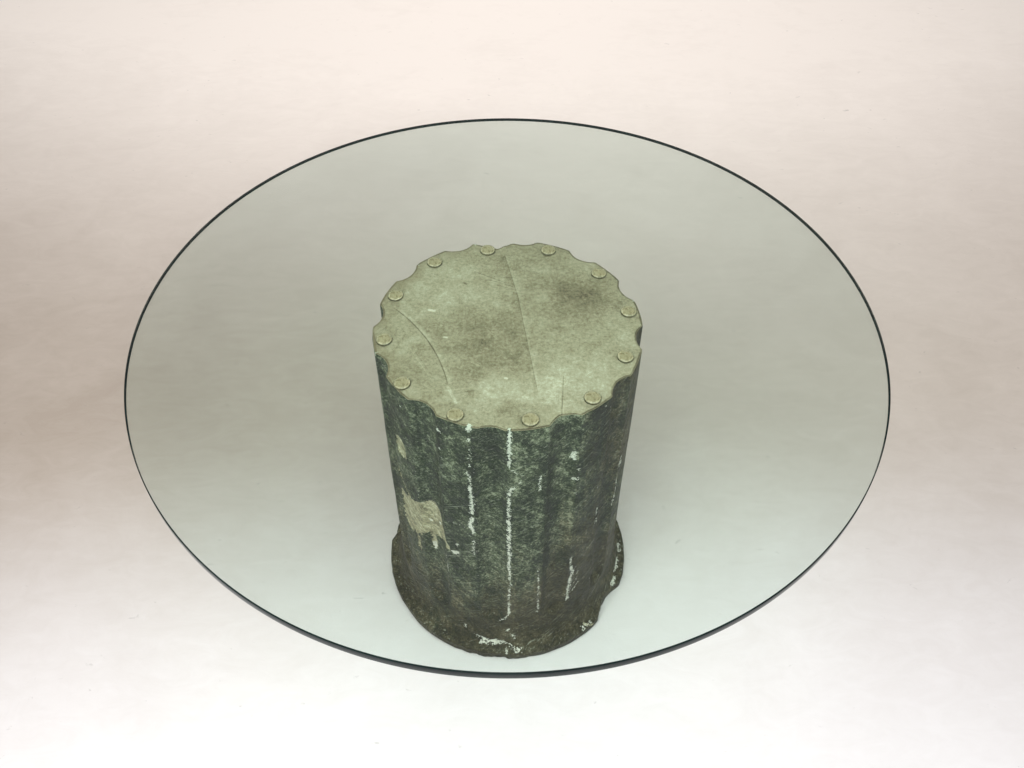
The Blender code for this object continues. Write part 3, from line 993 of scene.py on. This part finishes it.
# ==================== Glass and bumpers: shape ====================
def turned_mesh(name, profile, segments):
    """Solid of revolution about Z. The (radius, height) profile runs from the axis at the
    bottom, round the outside, to the axis at the top."""
    points = [(0.0, 0.0, profile[0][1])]
    turns = [2 * math.pi * k / segments for k in range(segments)]
    rings = profile[1:-1]
    for radius, height in rings:
        points += [(radius * math.cos(turn), radius * math.sin(turn), height) for turn in turns]
    points.append((0.0, 0.0, profile[-1][1]))
    last = len(points) - 1
    faces = [(0, 1 + (k + 1) % segments, 1 + k) for k in range(segments)]
    for row in range(len(rings) - 1):
        faces += ring_faces(1 + row * segments, 1 + (row + 1) * segments, segments)
    start = 1 + (len(rings) - 1) * segments
    faces += [(start + k, start + (k + 1) % segments, last) for k in range(segments)]
    mesh = bpy.data.meshes.new(name)
    mesh.from_pydata(points, [], faces)
    mesh.update()
    return mesh


def arc(centre_radius, centre_height, size, start, end, steps):
    angles = np.radians(np.linspace(start, end, steps + 1))
    return [(centre_radius + size * math.cos(a), centre_height + size * math.sin(a)) for a in angles]


def smooth(mesh, sharp_above):
    mesh.shade_smooth()
    mesh.set_sharp_from_angle(angle=math.radians(sharp_above))


def add_piece(name, mesh, materials, place=(0.0, 0.0, 0.0)):
    for material in materials:
        mesh.materials.append(material)
    piece = bpy.data.objects.new(name, mesh)
    bpy.context.scene.collection.objects.link(piece)
    piece.location = place
    return piece


def make_glass():
    thickness = GLASS_HIGH.z - GLASS_LOW.z
    flat_to = GLASS_RADIUS - GLASS_ARRIS - 0.0003      # keeps the faces' shading flat up to the arris
    low_half = [(0.0, 0.0), (GLASS_INNER_RING, 0.0), (flat_to, 0.0)]
    for inwards, up in ((1.0, 0.0), (0.45, 0.22), (0.12, 0.60), (0.0, 1.25)):
        low_half.append((GLASS_RADIUS - inwards * GLASS_ARRIS, up * GLASS_ARRIS))
    high_half = [(radius, thickness - height) for radius, height in reversed(low_half)]
    mesh = turned_mesh("glass_disc", low_half + high_half, GLASS_SEGMENTS)
    smooth(mesh, 35.0)
    materials = [glass_material(), glass_edge_material()]
    piece = add_piece("glass_disc", mesh, materials, (0.0, 0.0, GLASS_LOW.z))
    for face in mesh.polygons:
        face.material_index = 1 if abs(face.normal.z) < 0.97 else 0
    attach(piece, "glass")
    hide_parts("glass_top")


def bumper_profile(radius, thickness):
    """Rounded outer bead, a groove, and a slightly raised flat middle."""
    bead = 0.0012
    profile = [(0.0, 0.0), (radius - BUMPER_BASE_EDGE, 0.0), (radius, BUMPER_BASE_EDGE)]
    profile += arc(radius - bead, thickness - bead, bead, 0.0, 120.0, 8)
    groove = radius * 0.86
    profile += [(groove + 0.0007, thickness - 0.0014), (groove, thickness - 0.0017)]
    profile += [(groove - 0.0009, thickness - 0.0012), (groove - 0.0017, thickness - 0.0004)]
    profile += [(groove - 0.0028, thickness - 0.0001), (radius * 0.4, thickness), (0.0, thickness)]
    return profile


def make_bumpers():
    material = bumper_material()
    for number, node in enumerate(BUMPER_NODES):
        low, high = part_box(node)
        radius = (high.x - low.x) / 2
        mesh = turned_mesh(node + "_clear", bumper_profile(radius, high.z - low.z), BUMPER_SEGMENTS)
        press_unevenly(mesh, number, radius)
        smooth(mesh, 50.0)
        centre = ((low.x + high.x) / 2, (low.y + high.y) / 2, low.z)
        piece = add_piece(node + "_clear", mesh, [material], centre)
        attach(piece, "pedestal")
        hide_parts(node)


def press_unevenly(mesh, number, radius):
    """Each bumper is squeezed a little differently: a faint tilt of its upper side."""
    turn = SQUEEZE_TURN * number
    lean = Vector((math.cos(turn), math.sin(turn), 0.0)) / radius
    for vertex in mesh.vertices:
        if vertex.co.z > 2 * BUMPER_BASE_EDGE:
            vertex.co.z -= BUMPER_SQUEEZE * (1 + vertex.co.dot(lean))


def make_drum():
    mesh = drum_mesh()
    smooth(mesh, 60.0)
    piece = add_piece("column_drum_worn", mesh, [stone_material()])
    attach(piece, "pedestal")
    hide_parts("column_drum")


# ==================== Stage, light and camera ====================
FLOOR_HALF = 30.0
FLOOR_DROP = 0.0002           # keeps the floor clear of the drum's foot
# name, place, point it faces, (width, depth), watts, colour, and whether the glass may mirror it
SOFTBOXES = [
    ("front_softbox", (-1.5, -2.5, 2.8), (-0.1, -0.3, 0.3), (2.2, 1.6), 82.0, (1.0, 0.99, 0.97), False),
    ("overhead_softbox", (0.2, -1.1, 3.5), (0.0, -0.1, 0.0), (2.2, 1.4), 64.0, (1.0, 1.0, 1.0), True),
    ("back_softbox", (0.0, 3.6, 3.2), (0.0, 3.2, 0.0), (4.0, 1.6), 80.0, (1.0, 0.99, 0.98), False),
]
CAMERA_PLACE = (0.0, -1.0929, 1.7780)
CAMERA_DOWN = 48.015
CAMERA_RIGHT = 0.3705
CAMERA_ROLL = 0.4296
CAMERA_LENS = 32.35
SENSOR_WIDTH = 36.0


def floor_material():
    """Pale paper with painted light: lighter in front of the table and far behind it, darker between, and
    dimmer under the glass in a painted shadow of the glass.
    """
    n = Nodes("pale_floor")
    place = n.place()
    x, y, _ = n.split(place)
    # painted light and shade: lighter in front of the table and far behind it, darker in a band between
    # and most on the left, evening out far to the sides; scuffs and smears are added on top
    spread = n.times(n.math("MINIMUM", n.times(x, x), 4.0), 0.12)
    back = n.ranged(n.minus(y, spread), 0.18, 2.15)
    front = n.ranged(n.plus(y, spread), 0.55, -0.65)
    dark = n.ranged(x, -0.9, 0.9, 0.04, 0.32)
    painted_light_and_scuffs = n.math("MULTIPLY_ADD", n.math("MAXIMUM", back, front), n.minus(1.0, dark), dark)
    far_out = n.ranged(n.without_sign(x), 2.8, 6.0)
    painted_light_and_scuffs = n.math("MULTIPLY_ADD", n.minus(0.85, painted_light_and_scuffs), far_out, painted_light_and_scuffs)
    scuffs = n.noise(place, 2.6, 6.0, 0.66, 0.8)
    smears = n.noise(n.vector("MULTIPLY", place, (1.0, 2.2, 1.0)), 9.0, 5.0, 0.7, 1.2)
    painted_light_and_scuffs = n.total((painted_light_and_scuffs, 1.0), (n.centred(scuffs), 0.24), (n.centred(smears), 0.22))
    pale = n.mix(n.ranged(y, 0.6, -0.1), (0.950, 0.868, 0.805), (0.905, 0.885, 0.895))
    colour = n.mix(painted_light_and_scuffs, (0.430, 0.365, 0.310), pale)
    grit = n.noise(n.vector("MULTIPLY", place, (0.6, 1.0, 1.0)), 55.0, 3.0, 0.6, 0.6)
    grit = n.times(n.ranged(grit, 0.66, 0.76, 0.0, 0.34), n.ranged(smears, 0.46, 0.60))
    colour = n.mix(grit, colour, (0.22, 0.20, 0.18))
    # painted shadow of the glass on the floor under it, deeper on the left
    glass_shadow_area = n.ranged(n.vector("DISTANCE", place, (0.0, 0.74, 0.0)), 1.20, 0.80)
    painted_glass_shadow = n.times(glass_shadow_area, n.ranged(x, 0.35, -0.35, 0.02, 0.12))
    colour = n.mix(painted_glass_shadow, colour, (0.0, 0.0, 0.0))
    return n.surface(Base_Color=colour, Roughness=0.75, Specular_IOR_Level=0.15)


def make_floor():
    corners = [(-FLOOR_HALF, -FLOOR_HALF, 0), (FLOOR_HALF, -FLOOR_HALF, 0),
               (FLOOR_HALF, FLOOR_HALF, 0), (-FLOOR_HALF, FLOOR_HALF, 0)]
    mesh = bpy.data.meshes.new("floor")
    mesh.from_pydata(corners, [], [(0, 1, 2, 3)])
    floor = add_piece("floor", mesh, [floor_material()], (0.0, 0.0, -FLOOR_DROP))


def add_softbox(name, place, target, size, watts, colour, mirrored):
    light = bpy.data.lights.new(name, "AREA")
    light.shape = "RECTANGLE"
    light.size, light.size_y = size
    light.energy = watts
    light.color = colour
    lamp = bpy.data.objects.new(name, light)
    bpy.context.scene.collection.objects.link(lamp)
    lamp.location = place
    lamp.rotation_euler = (Vector(target) - Vector(place)).to_track_quat("-Z", "Y").to_euler()
    lamp.visible_glossy = mirrored
    lamp.visible_transmission = mirrored


def make_light():
    world = bpy.data.worlds.new("studio")
    world.use_nodes = True
    background = world.node_tree.nodes["Background"]
    background.inputs["Color"].default_value = (1.0, 0.985, 0.965, 1.0)
    background.inputs["Strength"].default_value = 0.27
    bpy.context.scene.world = world
    for softbox in SOFTBOXES:
        add_softbox(*softbox)


def make_camera():
    camera = bpy.data.cameras.new("camera")
    camera.lens = CAMERA_LENS
    camera.sensor_width = SENSOR_WIDTH
    camera.clip_start = 0.01
    viewer = bpy.data.objects.new("camera", camera)
    bpy.context.scene.collection.objects.link(viewer)
    turn = Matrix.Rotation(math.radians(-CAMERA_RIGHT), 4, "Z")
    tilt = Matrix.Rotation(math.radians(90.0 - CAMERA_DOWN), 4, "X")
    roll = Matrix.Rotation(math.radians(CAMERA_ROLL), 4, "Z")
    viewer.matrix_world = Matrix.Translation(CAMERA_PLACE) @ turn @ tilt @ roll
    bpy.context.scene.camera = viewer


def set_picture():
    bpy.context.scene.view_settings.view_transform = "Standard"


make_camera()
make_drum()
make_bumpers()
make_glass()
make_floor()
make_light()
set_picture()
